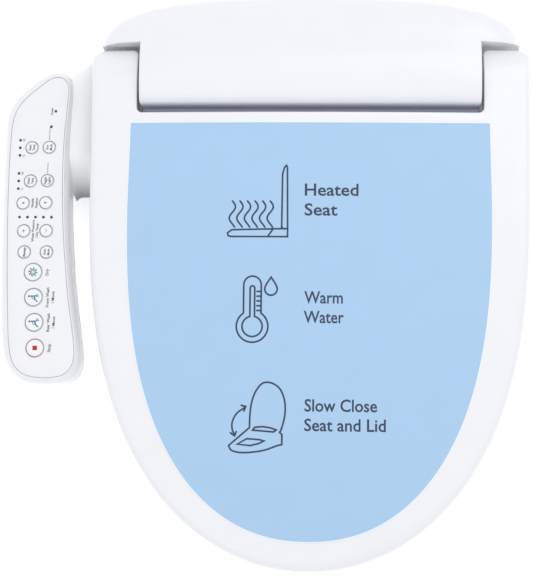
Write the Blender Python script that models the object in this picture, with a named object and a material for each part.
"""Electric bidet seat with a side control arm.

Lengths are in millimetres and become metres as each mesh is made. The origin lies on the bowl rim
plane, midway between the two fixing bolts; -Y points to the user's end, the control arm is at -X.
"""

import math

import bmesh
import bpy
from mathutils import Matrix, Vector

MM = 0.001
GAP = 0.3
WALL = 2.6
ROUND = 16

# Hinge axis shared by the seat and the lid, parallel to X.
HINGE_Y = -16.0
HINGE_Z = 78.0
PIN_RADIUS = 4.5
BARREL_RADIUS = 11.0

# Lid and seat outline.
LID_HALF_WIDTH = 203.5
LID_WIDE_Y = -100.0
LID_TIP_Y = -471.0
LID_REAR_Y = 7.0
LID_POWER = 2.9
LID_CORNER = 12.0
LID_RIM_Z = 58.0
LID_SLOPE = 0.0901
LID_CROWN = 4.0
LID_REAR_ROUND = 29.0
LID_REAR_DROP = 13.0
LID_SKIRT = 16.0
LIP_BOTTOM_Z = 90.0
LID_SKIN = 3.0
NOTCH_HALF_WIDTH = 160.3
NOTCH_Y = -55.0
NOTCH_CORNER = 5.0

# Printed sheet on the lid.
FILM_HALF_WIDTH = 168.0
FILM_REAR_Y = -63.0
FILM_TIP_Y = -444.5
FILM_THICK = 0.5

# Points along a straight rear edge, so that it follows the crown.
REAR_RUN = [-144.0, -96.0, -48.0, 0.0, 48.0, 96.0, 144.0]

SEAT_HALF_WIDTH = 200.5
SEAT_TIP_Y = -468.0
SEAT_REAR_Y = -74.0
SEAT_SKIN = 3.0
SEAT_TO_LID = 3.0
SEAT_STEPS = 40
HOLE_HALF_WIDTH = 106.0
HOLE_Y = -235.0
HOLE_REAR = 115.0
HOLE_FRONT = 160.0

SEAT_BUMPERS = {
    "seat_bumper_front_left": (-78.0, -415.0),
    "seat_bumper_front_right": (78.0, -415.0),
    "seat_bumper_rear_left": (-153.0, -215.0),
    "seat_bumper_rear_right": (153.0, -215.0),
}
LID_BUMPERS = {"lid_bumper_left": (-112.0, -380.0), "lid_bumper_right": (112.0, -380.0)}

# Housing at the rear.
HOUSE_HALF_WIDTH = 198.0
HOUSE_POWER = 2.7
HOUSE_REAR_Y = 60.0
HOUSE_WIDE_Y = -5.0
HOUSE_FRONT_Y = -70.0
HUMP_HALF_WIDTH = 157.5
SPLIT_Z = 36.0
TRAY_BOTTOM_Z = 1.5
FLOOR_Z = 8.0
DECK_Z = 47.3
POCKET_RADIUS = 30.0
SHOULDER_Y = 12.4

# Ports in the housing's sides and front.
PORT_Z = 22.0
INLET_Y = -30.0
GLAND_Y = -7.0
RELEASE_Y = -52.5
DRAIN_X = 120.0
BLOWER = (-88.0, -4.0)

# Control arm.
ARM_BOTTOM_Z = 14.0
ARM_SPLIT_Z = 44.0
ARM_TOP_Z = 65.0
FACIA_Z = ARM_TOP_Z + GAP
FACIA_THICK = 1.2
BUTTON_TRAVEL = 0.5
KEYPAD_TOP_Z = 60.2

# Wash nozzles slide forward and down along this direction.
NOZZLE_ANGLE = math.radians(32.0)
NOZZLE_X = 9.0
NOZZLE_RADIUS = 6.0
NOZZLE_LENGTH = 110.0
NOZZLE_TIP = (-61.0, 25.0)
RACK_START = 26.0
RACK_END = 104.0
RACK_TOP = 8.6
PINION_RADIUS = 6.0
PINION_BACK = 32.0

# Bowl fixing.
BOLT_SPACING = 140.0
PLATE_TOP_Z = FLOOR_Z - GAP
SLIDER_Z = 3.0

ARM_OUTLINE = [
    (-245, 0), (-265, -10), (-281, -25), (-289, -47.5), (-291, -83), (-291.5, -129), (-290.5, -179.5),
    (-288.5, -225.5), (-286, -266), (-278, -291.5), (-261, -302.5), (-244, -304), (-224, -294.5),
    (-215, -269), (-220.5, -222.5), (-226.5, -167.5), (-230.5, -111.5), (-230.5, -68), (-230, -17), (-234, -3),
]
FACIA_OUTLINE = [
    (-245, -10), (-258, -15), (-274.5, -36.5), (-282, -64), (-283, -99.5), (-282, -149), (-280, -200),
    (-277.5, -255), (-270.5, -282.5), (-256, -295.5), (-242, -298), (-225, -288.5), (-219, -263),
    (-224.5, -224.5), (-230, -183.5), (-233.5, -121), (-233.5, -63), (-232.5, -21), (-236, -11.5),
]
BRIDGE_OUTLINE = [
    (-198.3, 2), (-212, 5), (-226, 3), (-232.5, -3), (-232.5, -122), (-225, -125), (-213, -122),
    (-206.5, -114), (-206.5, -74), (-204, -68), (-198.3, -66),
]
# The hollow under the bridge, which leaves a wall all round it.
BRIDGE_ROOM = [
    (-201, -0.6), (-212, 0.6), (-224, 0.4), (-227.4, -5), (-227.4, -118), (-215, -119),
    (-209.1, -112), (-209.1, -76), (-205.5, -70.6), (-201, -68.6),
]
BIG_KEY = 8.6
SMALL_KEY = 6.2
KEY_SIDES = 12
KEYS = {
    "button_stop": (-252.4, -271.0, BIG_KEY),
    "button_rear_wash": (-254.2, -247.1, BIG_KEY),
    "button_front_wash": (-255.8, -223.4, BIG_KEY),
    "button_dryer": (-257.3, -199.6, BIG_KEY),
    "button_massage": (-266.5, -180.5, SMALL_KEY),
    "button_nozzle_position": (-245.5, -180.4, SMALL_KEY),
    "button_pressure_up": (-267.9, -160.2, SMALL_KEY),
    "button_pressure_down": (-246.7, -160.0, SMALL_KEY),
    "button_nozzle_back": (-269.8, -133.4, SMALL_KEY),
    "button_nozzle_forward": (-248.2, -133.0, SMALL_KEY),
    "button_water_temperature": (-263.7, -111.9, SMALL_KEY),
    "button_night_light": (-247.6, -111.5, SMALL_KEY),
    "button_seat_temperature": (-263.7, -79.3, SMALL_KEY),
    "button_eco": (-247.2, -78.9, SMALL_KEY),
}
LAMP_RADIUS = 1.1
LAMP_COLUMN_X = -275.0
LAMP_COLUMN_Y = [-72.0, -79.4, -86.8, -104.5, -111.9, -119.3]
LAMP_ROW_X = [-272.6, -265.0, -257.4, -249.8, -242.2]
LAMP_ROW_Y = -146.9
ECO_LAMP = (-246.0, -58.5)
POWER_LAMP = (-242.4, -43.3)


def clear_scene():
    for obj in list(bpy.data.objects):
        bpy.data.objects.remove(obj)


def material(name, colour, roughness, metallic=0.0):
    found = bpy.data.materials.get(name)
    if found:
        return found
    made = bpy.data.materials.new(name)
    made.use_nodes = True
    shader = made.node_tree.nodes["Principled BSDF"]
    shader.inputs["Base Color"].default_value = (*colour, 1.0)
    shader.inputs["Roughness"].default_value = roughness
    shader.inputs["Metallic"].default_value = metallic
    made.diffuse_color = (*colour, 1.0)
    return made


def white_plastic():
    return material("white_plastic", (0.90, 0.91, 0.93), 0.28)


def grey_plastic():
    return material("grey_plastic", (0.55, 0.57, 0.60), 0.5)


def black_plastic():
    return material("black_plastic", (0.04, 0.04, 0.045), 0.5)


def rubber():
    return material("rubber", (0.22, 0.23, 0.24), 0.8)


def steel():
    return material("steel", (0.62, 0.62, 0.63), 0.3, 1.0)


def circuit_board():
    return material("circuit_board", (0.05, 0.25, 0.11), 0.55)


def clear_plastic():
    return material("clear_plastic", (0.75, 0.80, 0.84), 0.15)


def blue_film():
    return material("blue_film", (0.44, 0.64, 0.86), 0.4)


def key_plastic():
    return material("key_plastic", (0.93, 0.94, 0.95), 0.35)


# ---------------------------------------------------------------- mesh helpers


def loft(rings):
    """One closed body through rings of equal point count; the first and last ring are capped."""
    bm = bmesh.new()
    rows = [[bm.verts.new(point) for point in ring] for ring in rings]
    count = len(rings[0])
    for low, high in zip(rows, rows[1:]):
        for i in range(count):
            j = (i + 1) % count
            bm.faces.new((low[i], low[j], high[j], high[i]))
    bm.faces.new(list(reversed(rows[0])))
    bm.faces.new(rows[-1])
    bmesh.ops.recalc_face_normals(bm, faces=bm.faces)
    return bm


def closed_sweep(sections):
    """A ring-shaped body: equal sections joined one to the next, and the last to the first."""
    bm = bmesh.new()
    rows = [[bm.verts.new(point) for point in section] for section in sections]
    count = len(sections[0])
    for k, low in enumerate(rows):
        high = rows[(k + 1) % len(rows)]
        for i in range(count):
            j = (i + 1) % count
            bm.faces.new((low[i], low[j], high[j], high[i]))
    bmesh.ops.recalc_face_normals(bm, faces=bm.faces)
    return bm


def prism(outline, low, high):
    """A plan outline raised from one height to another."""
    return loft([[(x, y, low) for x, y in outline], [(x, y, high) for x, y in outline]])


def side_prism(profile, low_x, high_x):
    """A (y, z) profile extruded along X."""
    return loft([[(x, y, z) for y, z in profile] for x in (low_x, high_x)])


def box(low, high):
    (x0, y0, z0), (x1, y1, z1) = low, high
    return prism([(x0, y0), (x1, y0), (x1, y1), (x0, y1)], z0, z1)


def slab(low, high, radius, steps=3):
    """A box whose four upright edges are rounded."""
    (x0, y0, z0), (x1, y1, z1) = low, high
    return prism(rounded_rectangle(x0, y0, x1, y1, radius, steps), z0, z1)


def rounded_rectangle(x0, y0, x1, y1, radius, steps=3):
    corners = [(x1 - radius, y1 - radius), (x0 + radius, y1 - radius)]
    corners += [(x0 + radius, y0 + radius), (x1 - radius, y0 + radius)]
    points = []
    for quarter, (cx, cy) in enumerate(corners):
        points += arc(cx, cy, radius, 90 * quarter, 90 * quarter + 90, steps)
    return points


def arc(cx, cy, radius, start, end, steps):
    angles = [math.radians(start + (end - start) * i / steps) for i in range(steps + 1)]
    return [(cx + radius * math.cos(a), cy + radius * math.sin(a)) for a in angles]


def turned(profile, centre, axis, steps=ROUND):
    """A solid of revolution: profile holds (distance along the axis, radius) pairs."""
    turn = Vector((0, 0, 1)).rotation_difference(Vector(axis)).to_matrix()
    rings = []
    for along, radius in profile:
        ring = []
        for i in range(steps):
            a = 2 * math.pi * i / steps
            point = Vector((radius * math.cos(a), radius * math.sin(a), along))
            ring.append(tuple(Vector(centre) + turn @ point))
        rings.append(ring)
    return loft(rings)


def cylinder(centre, axis, radius, low, high, steps=ROUND):
    return turned([(low, radius), (high, radius)], centre, axis, steps)


def smooth_outline(points, per_span=2):
    """A closed Catmull-Rom curve through a few points."""
    count = len(points)
    found = []
    for i in range(count):
        a, b, c, d = (Vector(points[(i + k - 1) % count]) for k in range(4))
        for step in range(per_span):
            t = step / per_span
            point = 0.5 * (2 * b + (c - a) * t + (2 * a - 5 * b + 4 * c - d) * t**2)
            point += 0.5 * (3 * b - a - 3 * c + d) * t**3
            found.append((point.x, point.y))
    return found


def inset(outline, distance):
    """A plan outline drawn in by a distance, point by point along its normals."""
    count = len(outline)
    area = sum(
        outline[i][0] * outline[(i + 1) % count][1] - outline[(i + 1) % count][0] * outline[i][1]
        for i in range(count)
    )
    side = 1 if area > 0 else -1
    found = []
    for i, point in enumerate(outline):
        before = (Vector(point) - Vector(outline[i - 1])).normalized()
        after = (Vector(outline[(i + 1) % count]) - Vector(point)).normalized()
        along = (before + after).normalized()
        normal = Vector((-along.y, along.x)) * side
        stretch = 1 / max(0.5, along.dot(after))
        found.append(tuple(Vector(point) + normal * distance * stretch))
    return found


def solid(name, bm, finish, origin=(0, 0, 0), sharp=35):
    """Makes an object from a mesh in millimetres, with its origin where asked."""
    bmesh.ops.translate(bm, verts=bm.verts, vec=-Vector(origin))
    bmesh.ops.scale(bm, verts=bm.verts, vec=(MM, MM, MM))
    mesh = bpy.data.meshes.new(name)
    bm.to_mesh(mesh)
    bm.free()
    mesh.materials.append(finish)
    obj = bpy.data.objects.new(name, mesh)
    obj.location = Vector(origin) * MM
    bpy.context.scene.collection.objects.link(obj)
    shade(obj, sharp)
    return obj


def shade(obj, sharp=35):
    obj.data.shade_smooth()
    obj.data.set_sharp_from_angle(angle=math.radians(sharp))


def combine(obj, bm, operation, solver):
    """Adds or cuts one mesh, given in millimetres, and keeps the object's finish."""
    tool = solid("tool", bm, obj.data.materials[0])
    bpy.context.view_layer.update()
    modifier = obj.modifiers.new("combine", "BOOLEAN")
    modifier.operation = operation
    modifier.solver = solver
    modifier.object = tool
    graph = bpy.context.evaluated_depsgraph_get()
    mesh = bpy.data.meshes.new_from_object(obj.evaluated_get(graph))
    obj.modifiers.clear()
    obj.data = mesh
    mesh.name = obj.name
    bpy.data.objects.remove(tool)
    shade(obj)


def join(obj, *meshes, solver="EXACT"):
    for bm in meshes:
        combine(obj, bm, "UNION", solver)


def cut(obj, *meshes, solver="EXACT"):
    for bm in meshes:
        combine(obj, bm, "DIFFERENCE", solver)


def take_mesh(obj):
    """Removes an object and returns its mesh in millimetres, for use as a cutter."""
    bm = bmesh.new()
    bm.from_mesh(obj.data)
    bmesh.ops.scale(bm, verts=bm.verts, vec=(1 / MM, 1 / MM, 1 / MM))
    bpy.data.objects.remove(obj)
    return bm


# ---------------------------------------------------------------- shared curves


def front_curve(half_width, wide_y, tip_y, along_power, across_power, steps):
    """The rounded front of an outline, from the right widest point round the tip to the left one."""
    right = []
    for i in range(steps + 1):
        a = 0.5 * math.pi * i / steps
        x = half_width * math.cos(a) ** (2 / across_power) if i < steps else 0.0
        y = wide_y + (tip_y - wide_y) * math.sin(a) ** (2 / along_power)
        right.append((x, y))
    return right + [(-x, y) for x, y in reversed(right[:-1])]


def lid_outline(shrink=0.0):
    half = LID_HALF_WIDTH - shrink
    rear = LID_REAR_Y - shrink
    corner = LID_CORNER - 0.5 * shrink
    ends = front_curve(half, LID_WIDE_Y, LID_TIP_Y + shrink, LID_POWER, 2.0, 12)
    left = arc(-half + corner, rear - corner, corner, 180, 90, 4)
    right = arc(half - corner, rear - corner, corner, 90, 0, 4)
    rear_edge = [(x, rear) for x in REAR_RUN]
    return ends + [(-half - 0.8, -58)] + left + rear_edge + right + [(half + 0.8, -58)]


def lid_plane(y):
    return LID_RIM_Z + (y - LID_TIP_Y) * LID_SLOPE


def lid_top(x, y):
    """Height of the lid's outer surface: a sloping plane, crowned across and rounded down at its ends."""
    across = 1 - (x / LID_HALF_WIDTH) ** 2
    front = max(0.0, (-300 - y) / 171)
    crown = LID_CROWN * across * (1 - front**2)
    rear = max(0.0, (y - LID_REAR_Y) / LID_REAR_ROUND + 1)
    return lid_plane(y) + crown - LID_REAR_DROP * rear**2


def lid_bottom(y):
    return lid_plane(y) - LID_SKIRT


def seat_top_height(x, y):
    return lid_bottom(y) - SEAT_TO_LID


def seat_bottom_height(y):
    return 6.0 + (y - SEAT_TIP_Y) * 0.056


def within_seat(x, y):
    if y > SEAT_REAR_Y:
        return False
    if y > LID_WIDE_Y:
        reach = SEAT_HALF_WIDTH
        over = max(0.0, y - (SEAT_REAR_Y - 12))
        return abs(x) < reach - 12 + math.sqrt(max(0.0, 144 - over**2))
    u = (y - LID_WIDE_Y) / (SEAT_TIP_Y - LID_WIDE_Y)
    return u < 1 and abs(x) < SEAT_HALF_WIDTH * math.sqrt(1 - u**LID_POWER)


def within_hole(x, y):
    length = HOLE_REAR if y > HOLE_Y else HOLE_FRONT
    power = 2.5 if y > HOLE_Y else 2.1
    return abs(x / HOLE_HALF_WIDTH) ** power + abs((y - HOLE_Y) / length) ** power < 1


def reach(inside, angle):
    """Distance from the middle of the seat hole to an edge, along one direction in plan."""
    low, high = 0.0, 320.0
    for _ in range(40):
        middle = 0.5 * (low + high)
        x = middle * math.cos(angle)
        y = HOLE_Y + middle * math.sin(angle)
        low, high = (middle, high) if inside(x, y) else (low, middle)
    return low


def seat_sections(shape):
    """Sections round the seat ring; shape(outer, inner, x, y) gives (distance, height) pairs."""
    sections = []
    for k in range(SEAT_STEPS):
        angle = 2 * math.pi * (k + 0.5) / SEAT_STEPS
        outer = reach(within_seat, angle)
        inner = reach(within_hole, angle)
        section = []
        for distance, lift in shape(outer, inner):
            x = distance * math.cos(angle)
            y = HOLE_Y + distance * math.sin(angle)
            section.append((x, y, lift(x, y)))
        sections.append(section)
    return sections


def above_bottom(offset):
    return lambda x, y: seat_bottom_height(y) + offset


def below_top(offset):
    return lambda x, y: seat_top_height(x, y) - offset


def house_rear(x, half_width=HOUSE_HALF_WIDTH, rear=HOUSE_REAR_Y):
    share = min(1.0, abs(x) / half_width)
    return HOUSE_WIDE_Y + (rear - HOUSE_WIDE_Y) * (1 - share**HOUSE_POWER) ** (1 / HOUSE_POWER)


def house_outline(shrink=0.0):
    """Plan of the housing: a superelliptic rear and a straight front."""
    half = HOUSE_HALF_WIDTH - shrink
    depth = HOUSE_REAR_Y - shrink - HOUSE_WIDE_Y
    rear = []
    for i in range(17):
        a = math.pi * i / 16
        x = half * math.copysign(abs(math.cos(a)) ** (2 / HOUSE_POWER), math.cos(a))
        rear.append((x, HOUSE_WIDE_Y + depth * abs(math.sin(a)) ** (2 / HOUSE_POWER)))
    front = HOUSE_FRONT_Y + shrink
    corner = 8 - 0.5 * shrink
    left = arc(-half + corner, front + corner, corner, 180, 270, 3)
    right = arc(half - corner, front + corner, corner, 270, 360, 3)
    return rear + left + right


# ---------------------------------------------------------------- bowl fixing


def mounting_plate():
    """The plate that two bolts hold to the bowl; each bolt runs in a slot under a steel slider."""
    plate = solid("mounting_plate", slab((-92, -30, 0), (92, 24, PLATE_TOP_Z), 8), grey_plastic())
    for side in (-1, 1):
        x = side * BOLT_SPACING / 2
        cut(plate, slab((x - 14, -24, SLIDER_Z), (x + 14, 18, 20), 3))
        cut(plate, slab((x - 5, -18, -5), (x + 5, 12, 20), 4.9))


def bolt_slider(name, side):
    x = side * BOLT_SPACING / 2
    block = solid(name, slab((x - 13.5, -14, SLIDER_Z + GAP), (x + 13.5, 14, 7.2), 3), steel())
    cut(block, cylinder((x, 0, 0), (0, 0, 1), 4.2, 0, 12))
    return block


# ---------------------------------------------------------------- housing


def base_tray():
    """The lower half of the housing, with its doors, spouts and side openings."""
    tray = solid("base_tray", prism(house_outline(), TRAY_BOTTOM_Z, SPLIT_Z), white_plastic())
    cut(tray, prism(house_outline(WALL), FLOOR_Z + WALL, SPLIT_Z + 5))
    cut(tray, prism(house_outline(WALL), TRAY_BOTTOM_Z - 5, FLOOR_Z))
    front, inside = HOUSE_FRONT_Y - 5, HOUSE_FRONT_Y + 8
    side = HOUSE_HALF_WIDTH
    cut(tray, box((-19, front, 11.6), (19, inside, 33)))
    cut(tray, box((-109, front, 17), (-79, inside, 31)))
    cut(tray, cylinder((DRAIN_X, front, PORT_Z), (0, 1, 0), 5.4, 0, 15))
    cut(tray, cylinder((side - 8, INLET_Y, PORT_Z), (1, 0, 0), 8.6, 0, 20))
    cut(tray, cylinder((side - 8, GLAND_Y, PORT_Z), (1, 0, 0), 6.6, 0, 20))
    cut(tray, box((side - 8, RELEASE_Y - 7.5, 18), (side + 8, RELEASE_Y + 7.5, 30)))
    cut(tray, box((-side - 8, -50, 18), (-side + 8, -30, 30)))


# Side view (y, z) of the housing at its middle. It stays inside the path of the lid's rear lip.
HUMP_PROFILE = [
    (-70, 80), (-66, 84), (-47.5, 84), (-45.5, 87), (-45.5, 97.5), (-44, 101), (-41, 104.3), (-35, 107.9),
    (-24, 111.2), (-9, 112.5), (6, 112), (18, 110.8), (32, 108.3), (44, 104.2), (53, 98), (58, 89), (60, 78),
]


def cover_rings(shrink, base_z):
    """Sections of the housing cover along X: the hump profile, narrowed and lowered towards the ends."""
    half = HOUSE_HALF_WIDTH - shrink
    shares = [0, 0.24, 0.48, 0.68, 0.82, 0.9, 0.95, 0.975, 0.99]
    rings = []
    for share in [-s for s in reversed(shares[1:])] + shares:
        x = share * half
        rear = house_rear(x, half, HOUSE_REAR_Y - shrink)
        rise = (1 - abs(share) ** 9) ** (1 / 3)
        ring = [(x, HOUSE_FRONT_Y + shrink, base_z)]
        for y, z in HUMP_PROFILE:
            if y > HINGE_Y:
                y = HINGE_Y + (y - HINGE_Y) * (rear - HINGE_Y) / (HOUSE_REAR_Y - HINGE_Y)
            else:
                y = y + shrink
            z = HINGE_Z + (z - shrink - HINGE_Z) * (rise if z > HINGE_Z else 1)
            ring.append((x, y, z))
        ring.append((x, rear, base_z))
        rings.append(ring)
    return rings


def pocket_profile(grow):
    """Side view of the room cleared for the ears: a deck, a hollow round the hinge and a rear wall."""
    radius = POCKET_RADIUS + grow
    round_part = arc(HINGE_Y, HINGE_Z, radius, 270, 375, 11)
    wall_y = SHOULDER_Y + grow
    top = [(wall_y, 90), (wall_y, 140), (-90, 140), (-90, DECK_Z - grow)]
    return [(HINGE_Y, DECK_Z - grow)] + round_part[1:] + top


def top_cover():
    """The upper half of the housing: a hump between two pockets that the seat and lid ears turn in."""
    cover = solid("top_cover", loft(cover_rings(0.0, SPLIT_Z + GAP)), white_plastic())
    hollow = solid("hollow", loft(cover_rings(WALL, SPLIT_Z - 4)), white_plastic())
    for side in (-1, 1):
        ends = sorted((side * (HUMP_HALF_WIDTH - WALL), side * 230))
        cut(hollow, side_prism(pocket_profile(WALL), *ends))
    for side in (-1, 1):
        ends = sorted((side * HUMP_HALF_WIDTH, side * 230))
        cut(cover, side_prism(pocket_profile(0), *ends))
    cut(cover, take_mesh(hollow))
    for side in (-1, 1):
        start = side * (HUMP_HALF_WIDTH - 10)
        cut(cover, cylinder((start, HINGE_Y, HINGE_Z), (side, 0, 0), 5.4, 0, 20))
    return cover


# ---------------------------------------------------------------- hinge


def hinge_parts(side, label, damper):
    """A rotary damper inside the hump and the steel pin that carries a seat lug and a lid ear."""
    centre = (0, HINGE_Y, HINGE_Z)
    body = solid(damper, cylinder(centre, (side, 0, 0), 10.5, 113, 145), black_plastic())
    join(body, cylinder(centre, (side, 0, 0), 6.5, 143, 150))
    rod = cylinder(centre, (side, 0, 0), PIN_RADIUS, 150 + GAP, 196)
    pin = solid("hinge_pin_" + label, rod, steel())
    join(pin, cylinder(centre, (side, 0, 0), 6.5, 150 + GAP, 153.5))


# ---------------------------------------------------------------- seat


def seat_shell_shape(outer, inner):
    skin = SEAT_SKIN
    return [
        (outer, above_bottom(6)), (outer, below_top(9)), (outer - 2.5, below_top(3)),
        (outer - 10, below_top(0)), (0.5 * (outer + inner), below_top(1)),
        (inner + 14, below_top(3.5)), (inner + 4, below_top(8)), (inner, below_top(15)),
        (inner, above_bottom(6)), (inner + skin, above_bottom(6)), (inner + skin, below_top(16)),
        (inner + 13, below_top(7.5)), (outer - 12, below_top(4)), (outer - skin, below_top(10)),
        (outer - skin, above_bottom(6)),
    ]


def seat_top():
    """The seat's upper shell, with a bored barrel on each side for the hinge pin."""
    ring = closed_sweep(seat_sections(seat_shell_shape))
    shell = solid("seat_top", ring, white_plastic())
    for side in (-1, 1):
        ends = sorted((side * 164.5, side * 184.5))
        lug = arc(HINGE_Y, HINGE_Z, BARREL_RADIUS, -100, 100, 9)
        lug += [(HINGE_Y - 20, 80), (SEAT_REAR_Y - 2, 73), (SEAT_REAR_Y - 2, 52), (HINGE_Y - 20, 62)]
        join(shell, side_prism(lug, *ends), solver="MANIFOLD")
        bore = cylinder((0, HINGE_Y, HINGE_Z), (side, 0, 0), PIN_RADIUS + 0.4, 150, 205)
        cut(shell, bore, solver="MANIFOLD")


def seat_base():
    """The flat plate that closes the seat from below."""

    def shape(outer, inner):
        return [
            (outer - 0.5, above_bottom(0)), (outer - 0.5, above_bottom(5.7)),
            (inner + 0.5, above_bottom(5.7)), (inner + 0.5, above_bottom(0)),
        ]

    solid("seat_base", closed_sweep(seat_sections(shape)), white_plastic())


def seat_heater():
    """A heating foil bonded under the seat's upper skin."""
    foil = material("heater_foil", (0.8, 0.5, 0.2), 0.4)

    def shape(outer, inner):
        return [
            (outer - 22, below_top(6.2)), (outer - 22, below_top(7.2)),
            (inner + 18, below_top(10.5)), (inner + 18, below_top(9.5)),
        ]

    solid("seat_heater", closed_sweep(seat_sections(shape)), foil)


def seat_bumper(name, x, y):
    """A rubber foot on the slanting underside of the seat."""
    top = seat_bottom_height(y) - 1.0
    foot = [(0, 9), (2, 11), (top, 11)]
    solid(name, turned(foot, (x, y, 0), (0, 0, 1), 16), rubber())


# ---------------------------------------------------------------- lid


def shifted(outline, height):
    return [(x, y, height(x, y)) for x, y in outline]


def drawn_in(outline, share):
    """An outline scaled towards the middle of the lid."""
    return [(x * share, -215 + (y + 215) * share) for x, y in outline]


def lid_block(shrink, floor, top_skin):
    """The lid as a filled shape; a smaller one is cut from it to leave the shell."""
    edge = lid_outline(shrink)
    rings = [shifted(edge, lambda x, y: lid_bottom(y) - floor)]
    rings.append(shifted(edge, lambda x, y: lid_top(x, y) - top_skin - 4.5))
    rings.append(shifted(lid_outline(shrink + 1.3), lambda x, y: lid_top(x, y) - top_skin - 1.4))
    for share in (0.98, 0.74, 0.48, 0.22):
        rings.append(shifted(drawn_in(edge, share), lambda x, y: lid_top(x, y) - top_skin))
    return loft(rings)


def notch_outline(grow):
    half = NOTCH_HALF_WIDTH + grow
    front = NOTCH_Y - grow
    corner = NOTCH_CORNER + grow
    left = arc(-half + corner, front + corner, corner, 180, 270, 3)
    right = arc(half - corner, front + corner, corner, 270, 360, 3)
    return [(half, 40), (-half, 40)] + left + right


def lid_shell():
    """The hollow lid, notched round the housing's hump, with a bored lug in each ear."""
    lid = solid("lid_shell", lid_block(0, 0, 0), white_plastic())
    hollow = solid("hollow", lid_block(LID_SKIN, 30, LID_SKIN), white_plastic())
    cut(hollow, prism(notch_outline(LID_SKIN), 20, 160))
    half = NOTCH_HALF_WIDTH - 1
    lip_room = box((-half, NOTCH_Y - 12, 60), (half, NOTCH_Y + 5, LIP_BOTTOM_Z))
    cut(lid, take_mesh(hollow), prism(notch_outline(0), 20, 160), lip_room, solver="MANIFOLD")
    for side in (-1, 1):
        ends = sorted((side * 187.5, side * 197.5))
        lug = arc(HINGE_Y, HINGE_Z, 10.5, 180, 360, 9)
        lug += [(HINGE_Y + 9, 93.5), (HINGE_Y, 96.5), (HINGE_Y - 18, 96.8)]
        join(lid, side_prism(lug, *ends), solver="MANIFOLD")
        bore = cylinder((0, HINGE_Y, HINGE_Z), (side, 0, 0), PIN_RADIUS + 0.4, 180, 196.5)
        cut(lid, bore, solver="MANIFOLD")


def film_outline():
    ends = front_curve(FILM_HALF_WIDTH, -140, FILM_TIP_Y, 2.6, 2.2, 10)
    rear_edge = [(x, FILM_REAR_Y) for x in [-166] + REAR_RUN + [166]]
    return ends + [(-167.2, -100)] + rear_edge + [(167.2, -100)]


def lid_film():
    """A printed sheet lying on the lid."""
    edge = film_outline()
    shares = (1.0, 0.76, 0.5, 0.25)

    def rings(lift):
        return [shifted(drawn_in(edge, share), lambda x, y: lid_top(x, y) + lift) for share in shares]

    solid("lid_film", loft(list(reversed(rings(GAP))) + rings(GAP + FILM_THICK)), blue_film())


def lid_bumper(name, x, y):
    low = seat_top_height(x, y) + 1.0
    high = lid_top(x, y) - LID_SKIN - 1.0
    solid(name, turned([(low, 5), (low + 1.5, 7), (high, 7)], (x, y, 0), (0, 0, 1), 14), rubber())


# ---------------------------------------------------------------- wash nozzles


def slide_direction():
    return Vector((0, -math.cos(NOZZLE_ANGLE), -math.sin(NOZZLE_ANGLE)))


def slide_normal():
    return Vector((0, -math.sin(NOZZLE_ANGLE), math.cos(NOZZLE_ANGLE)))


def on_slide(x, back, up):
    """A point at a distance behind the nozzle tip along the slide and above its centre line."""
    tip = Vector((x, NOZZLE_TIP[0], NOZZLE_TIP[1]))
    return tip - slide_direction() * back + slide_normal() * up


def slide_bar(x0, x1, profile):
    """A bar across the slide; its profile holds (distance behind the tip, height above centre) pairs."""
    return loft([[tuple(on_slide(x, back, up)) for back, up in profile] for x in (x0, x1)])


def nozzle(name, x):
    tube = [(0, 2.5), (1.2, 4.8), (3.5, NOZZLE_RADIUS), (NOZZLE_LENGTH, NOZZLE_RADIUS)]
    tip = on_slide(x, 0, 0)
    body = solid(name, turned(tube, tip, -slide_direction(), 18), white_plastic(), tip)
    rack = [(RACK_START, 5), (RACK_END, 5)]
    teeth = 12
    pitch = (RACK_END - RACK_START) / teeth
    for i in reversed(range(teeth)):
        start = RACK_START + i * pitch
        for share, height in ((0.8, RACK_TOP - 1.3), (0.5, RACK_TOP), (0.2, RACK_TOP - 1.3)):
            rack.append((start + share * pitch, height))
    join(body, slide_bar(x - 2, x + 2, rack))
    join(body, cylinder(on_slide(x, 9, 5.2), slide_normal(), 2.6, 0, 1.4, 12))
    cut(body, cylinder(on_slide(x, 9, 5.8), slide_normal(), 0.9, 0, 5, 8))


def nozzle_guide():
    """A cradle with two open channels, held on a foot that stands on the tray floor."""
    cradle = slide_bar(-20, 20, [(6, -9.5), (78, -9.5), (78, 3), (6, 3)])
    guide = solid("nozzle_guide", cradle, grey_plastic())
    floor = FLOOR_Z + WALL + GAP
    join(guide, side_prism([(-52, floor), (-20, floor), (-20, 42), (-52, 22)], -18, 18))
    for x in (-NOZZLE_X, NOZZLE_X):
        start = on_slide(x, -30, 0)
        cut(guide, cylinder(start, -slide_direction(), NOZZLE_RADIUS + 0.5, 0, 160))


def nozzle_drive(label, side):
    """A motor beside the nozzle and the pinion that runs on its rack."""
    centre = pinion_centre()
    motor = solid("nozzle_motor_" + label, cylinder(centre, (side, 0, 0), 10, 13, 30), steel())
    join(motor, cylinder(centre, (side, 0, 0), 1.5, 6, 15, 10))
    x0, x1 = sorted((side * 6.5, side * 12))
    teeth = 12
    profile = []
    for i in range(teeth):
        for turn, radius in ((0.0, 4.7), (0.3, 4.7), (0.45, PINION_RADIUS), (0.85, PINION_RADIUS)):
            a = 2 * math.pi * (i + turn) / teeth
            profile.append((centre.y + radius * math.cos(a), centre.z + radius * math.sin(a)))
    pinion = solid("nozzle_pinion_" + label, side_prism(profile, x0, x1), key_plastic(), tuple(centre))
    cut(pinion, cylinder(centre, (1, 0, 0), 1.9, -40, 40, 10))


def pinion_centre():
    return on_slide(0, PINION_BACK, RACK_TOP + GAP + PINION_RADIUS)


# ---------------------------------------------------------------- water and air


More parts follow.
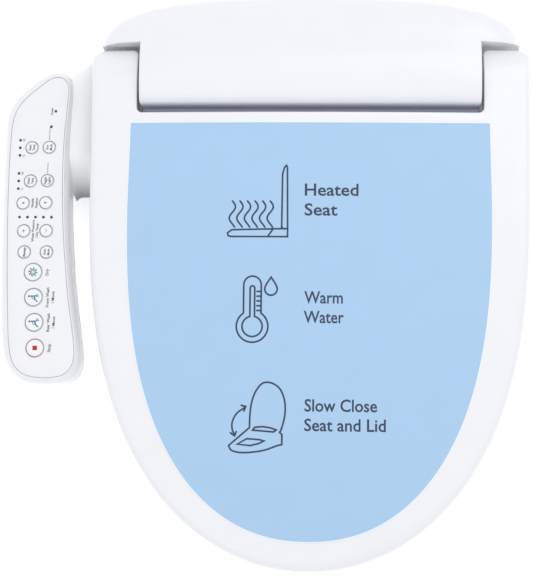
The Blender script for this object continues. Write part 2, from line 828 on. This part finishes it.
def water_inlet():
    """The threaded stub for the water hose on the right side."""
    start = (HOUSE_HALF_WIDTH, INLET_Y, PORT_Z)
    stub = [(-14, 8.2), (0.4, 8.2), (0.4, 10.5), (3, 10.5), (3, 7.5)]
    for thread in (5.0, 6.8, 8.6):
        stub += [(thread, 7.5), (thread + 0.6, 8.3)]
    stub += [(10.4, 7.5), (12, 7.0)]
    brass = material("brass", (0.72, 0.56, 0.3), 0.3, 1.0)
    body = solid("water_inlet", turned(stub, start, (1, 0, 0), 12), brass)
    cut(body, cylinder(start, (1, 0, 0), 5, -20, 20, 12))


def inlet_filter():
    start = (152, INLET_Y, PORT_Z)
    profile = [(0, 6.5), (20, 6.5), (20.5, 4.5), (24, 4.5)]
    solid("inlet_filter", turned(profile, start, (1, 0, 0)), steel())


def inlet_valve():
    valve = solid("inlet_valve", slab((150, -17, 12), (178, 14, 30), 3), white_plastic())
    join(valve, cylinder((164, 0, 28), (0, 0, 1), 9.5, 0, 14))


def water_heater():
    floor = FLOOR_Z + WALL + GAP
    tank = solid("water_heater", slab((42, -46, floor + 2), (134, 30, 54), 12), grey_plastic())
    for x in (60, 112):
        join(tank, cylinder((x, 10, 53), (0, 0, 1), 5, 0, 7))
    for x in (52, 124):
        for y in (-30, 16):
            join(tank, cylinder((x, y, floor), (0, 0, 1), 5, 0, 4, 12))
    cut(tank, cylinder((DRAIN_X, -60, PORT_Z), (0, 1, 0), 5.4, 0, 22))


def drain_plug():
    """A plug with a coin slot that closes the tank's drain."""
    wall = (DRAIN_X, HOUSE_FRONT_Y, PORT_Z)
    plug = [(-2.0, 6.2), (-1.4, 7), (-GAP, 7), (-GAP, 5), (30, 5)]
    body = solid("drain_plug", turned(plug, wall, (0, 1, 0)), grey_plastic())
    slot_low = (DRAIN_X - 6, HOUSE_FRONT_Y - 4, PORT_Z - 0.8)
    cut(body, box(slot_low, (DRAIN_X + 6, HOUSE_FRONT_Y - 1.2, PORT_Z + 0.8)))


def blower_housing():
    centre = (*BLOWER, FLOOR_Z + WALL + GAP)
    case = solid("blower_housing", cylinder(centre, (0, 0, 1), 37, 2, 32, 24), black_plastic())
    cut(case, cylinder(centre, (0, 0, 1), 34.5, 5, 30, 24), cylinder(centre, (0, 0, 1), 15, 20, 40))
    cut(case, box((BLOWER[0] - 14, -60, 21), (BLOWER[0] + 10, -30, 32)))
    for angle in (45, 165, 285):
        a = math.radians(angle)
        x, y = BLOWER[0] + 30 * math.cos(a), BLOWER[1] + 30 * math.sin(a)
        join(case, cylinder((x, y, centre[2]), (0, 0, 1), 4, 0, 3, 10))


def blower_fan():
    """A centrifugal wheel: a disc, a hub and ten blades."""
    origin = (*BLOWER, 20.0)
    wheel = solid("blower_fan", cylinder(origin, (0, 0, 1), 30, 0, 1.6, 24), key_plastic(), origin)
    join(wheel, cylinder(origin, (0, 0, 1), 6, 1, 12, 12))
    blades = 10
    for i in range(blades):
        turn = Matrix.Rotation(2 * math.pi * i / blades, 4, "Z")
        blade = box((21, -0.8, 1), (29.5, 0.8, 16))
        bmesh.ops.rotate(blade, verts=blade.verts, cent=(25, 0, 0), matrix=Matrix.Rotation(0.6, 3, "Z"))
        bmesh.ops.transform(blade, matrix=Matrix.Translation(origin) @ turn, verts=blade.verts)
        join(wheel, blade)


def air_duct():
    duct = solid("air_duct", box((-111, -66.5, 15), (-77, -42.2, 33)), black_plastic())
    cut(duct, box((-108.5, -80, 17.5), (-79.5, -30, 30.5)))


# ---------------------------------------------------------------- electronics


def main_board():
    board = solid("main_board", box((44, -40, 64), (134, 26, 65.6)), circuit_board())
    fitted = [
        ((50, 4, 65), (66, 20, 80)), ((72, 8, 65), (90, 22, 76)), ((98, -2, 65), (104, 22, 86)),
        ((108, 4, 65), (128, 20, 72)), ((52, -36, 65), (80, -28, 74)), ((88, -38, 65), (120, -32, 71)),
    ]
    for low, high in fitted:
        join(board, box(low, high))


def cord_gland():
    """The moulded gland for the mains cord on the right side."""
    start = (HOUSE_HALF_WIDTH, GLAND_Y, PORT_Z)
    gland = [(-10, 6.2), (0.4, 6.2), (0.4, 8), (2.4, 8), (3.2, 6), (11, 4.9)]
    body = solid("cord_gland", turned(gland, start, (1, 0, 0)), rubber())
    cut(body, cylinder(start, (1, 0, 0), 3.6, -20, 20, 12))


def release_button():
    """The spring button that frees the seat from its mounting plate."""
    edge = HOUSE_HALF_WIDTH
    face = box((edge - 6, RELEASE_Y - 7.1, 18.4), (edge + 3.5, RELEASE_Y + 7.1, 29.6))
    button = solid("release_button", face, grey_plastic(), (edge, RELEASE_Y, 24))
    join(button, box((edge - 9, RELEASE_Y - 9.5, 16), (edge - 5, RELEASE_Y + 9.5, 32)))


# ---------------------------------------------------------------- control arm


def arm_case():
    """The lower half of the control arm and the bridge that joins it to the housing."""
    outline = smooth_outline(ARM_OUTLINE)
    case = solid("arm_case", prism(outline, ARM_BOTTOM_Z, ARM_SPLIT_Z), white_plastic())
    join(case, prism(BRIDGE_OUTLINE, ARM_BOTTOM_Z, ARM_SPLIT_Z - GAP))
    cut(case, prism(inset(outline, WALL), ARM_BOTTOM_Z + WALL, ARM_SPLIT_Z + 5))
    cut(case, prism(BRIDGE_ROOM, ARM_BOTTOM_Z - 5, ARM_SPLIT_Z - 3))
    cut(case, box((-207, -50, 20), (-196, -30, 28)))


def arm_cover():
    """The upper half of the control arm, with a window for the keys."""
    outline = smooth_outline(ARM_OUTLINE)
    levels = [(0, ARM_SPLIT_Z + GAP), (0, 60.5), (0.7, 63), (2.4, 64.6), (4.2, ARM_TOP_Z)]
    rings = [[(x, y, z) for x, y in inset(outline, draw)] for draw, z in levels]
    cover = solid("arm_cover", loft(rings), white_plastic())
    cut(cover, prism(inset(outline, WALL), ARM_SPLIT_Z - 5, ARM_TOP_Z - WALL))
    cut(cover, prism(inset(FACIA_OUTLINE, 1.6), 50, 80))


def panel_facia():
    """The printed face of the control arm, with a hole for each key and lamp."""
    sheet = prism(smooth_outline(FACIA_OUTLINE), FACIA_Z, FACIA_Z + FACIA_THICK)
    facia = solid("panel_facia", sheet, white_plastic())
    for x, y, radius in KEYS.values():
        cut(facia, cylinder((x, y, 60), (0, 0, 1), radius + 0.4, 0, 20, KEY_SIDES))
    for x, y in lamps():
        cut(facia, cylinder((x, y, 60), (0, 0, 1), LAMP_RADIUS + 0.4, 0, 20, 6))


def lamps():
    """Plan positions of the lamps."""
    column = [(LAMP_COLUMN_X, y) for y in LAMP_COLUMN_Y]
    row = [(x, LAMP_ROW_Y) for x in LAMP_ROW_X]
    return column + row + [ECO_LAMP, POWER_LAMP]


def key(name, x, y, radius):
    """A round key that rests just over the keypad and stands a little proud of the facia."""
    top = FACIA_Z + FACIA_THICK
    foot = KEYPAD_TOP_Z + BUTTON_TRAVEL + GAP
    profile = [(foot, radius), (top + 0.5, radius), (top + 1.0, radius - 0.8)]
    solid(name, turned(profile, (x, y, 0), (0, 0, 1), KEY_SIDES), key_plastic(), (x, y, top))


def light_guide():
    """One clear moulding that leads light to every lamp window."""
    low, high = 61.4, 63.2
    top = FACIA_Z + FACIA_THICK
    spine = solid("light_guide", box((-278.6, -149, low), (-276.2, -64, high)), clear_plastic())
    join(spine, box((-278, -149, low), (-240, -144.6, high)), box((-278, -66, low), (-242, -61, high)))
    join(spine, box((-248.5, -62, low), (-243.5, -56, high)), box((-245, -64, low), (-240, -41, high)))
    for y in LAMP_COLUMN_Y:
        join(spine, box((-278, y - 1.5, low), (LAMP_COLUMN_X + 1.5, y + 1.5, high)))
    for x, y in lamps():
        join(spine, cylinder((x, y, 0), (0, 0, 1), LAMP_RADIUS, high - 1, top, 6))


def keypad():
    """The rubber mat with a dome under each key."""
    mat = prism(inset(FACIA_OUTLINE, 3), KEYPAD_TOP_Z - 2.4, KEYPAD_TOP_Z)
    solid("keypad", mat, rubber())


def control_board():
    """The board under the keypad, with its components hanging below it."""
    board = solid("control_board", prism(inset(FACIA_OUTLINE, 3), 54, 55.6), circuit_board())
    join(board, box((-269, -240, 46), (-247, -215, 55)), box((-266, -120, 47), (-246, -90, 55)))


# ---------------------------------------------------------------- assembly


def hang(name, pieces):
    """Parents pieces to an empty on the hinge axis, so that turning it opens them."""
    pivot = bpy.data.objects.new(name, None)
    pivot.location = Vector((0, HINGE_Y, HINGE_Z)) * MM
    bpy.context.scene.collection.objects.link(pivot)
    for piece in pieces:
        obj = bpy.data.objects[piece]
        obj.parent = pivot
        obj.location -= pivot.location


def build():
    clear_scene()
    mounting_plate()
    bolt_slider("bolt_slider_left", -1)
    bolt_slider("bolt_slider_right", 1)
    base_tray()
    top_cover()
    hinge_parts(-1, "left", "lid_damper")
    hinge_parts(1, "right", "seat_damper")
    seat_top()
    seat_base()
    seat_heater()
    for name, (x, y) in SEAT_BUMPERS.items():
        seat_bumper(name, x, y)
    hang("seat_hinge", ["seat_top", "seat_base", "seat_heater", *SEAT_BUMPERS])
    lid_shell()
    lid_film()
    for name, (x, y) in LID_BUMPERS.items():
        lid_bumper(name, x, y)
    hang("lid_hinge", ["lid_shell", "lid_film", *LID_BUMPERS])
    nozzle("rear_wash_nozzle", -NOZZLE_X)
    nozzle("front_wash_nozzle", NOZZLE_X)
    nozzle_guide()
    nozzle_drive("rear", -1)
    nozzle_drive("front", 1)
    water_inlet()
    inlet_filter()
    inlet_valve()
    water_heater()
    drain_plug()
    blower_housing()
    blower_fan()
    air_duct()
    main_board()
    cord_gland()
    release_button()
    arm_case()
    arm_cover()
    panel_facia()
    light_guide()
    keypad()
    control_board()
    for name, (x, y, radius) in KEYS.items():
        key(name, x, y, radius)


build()
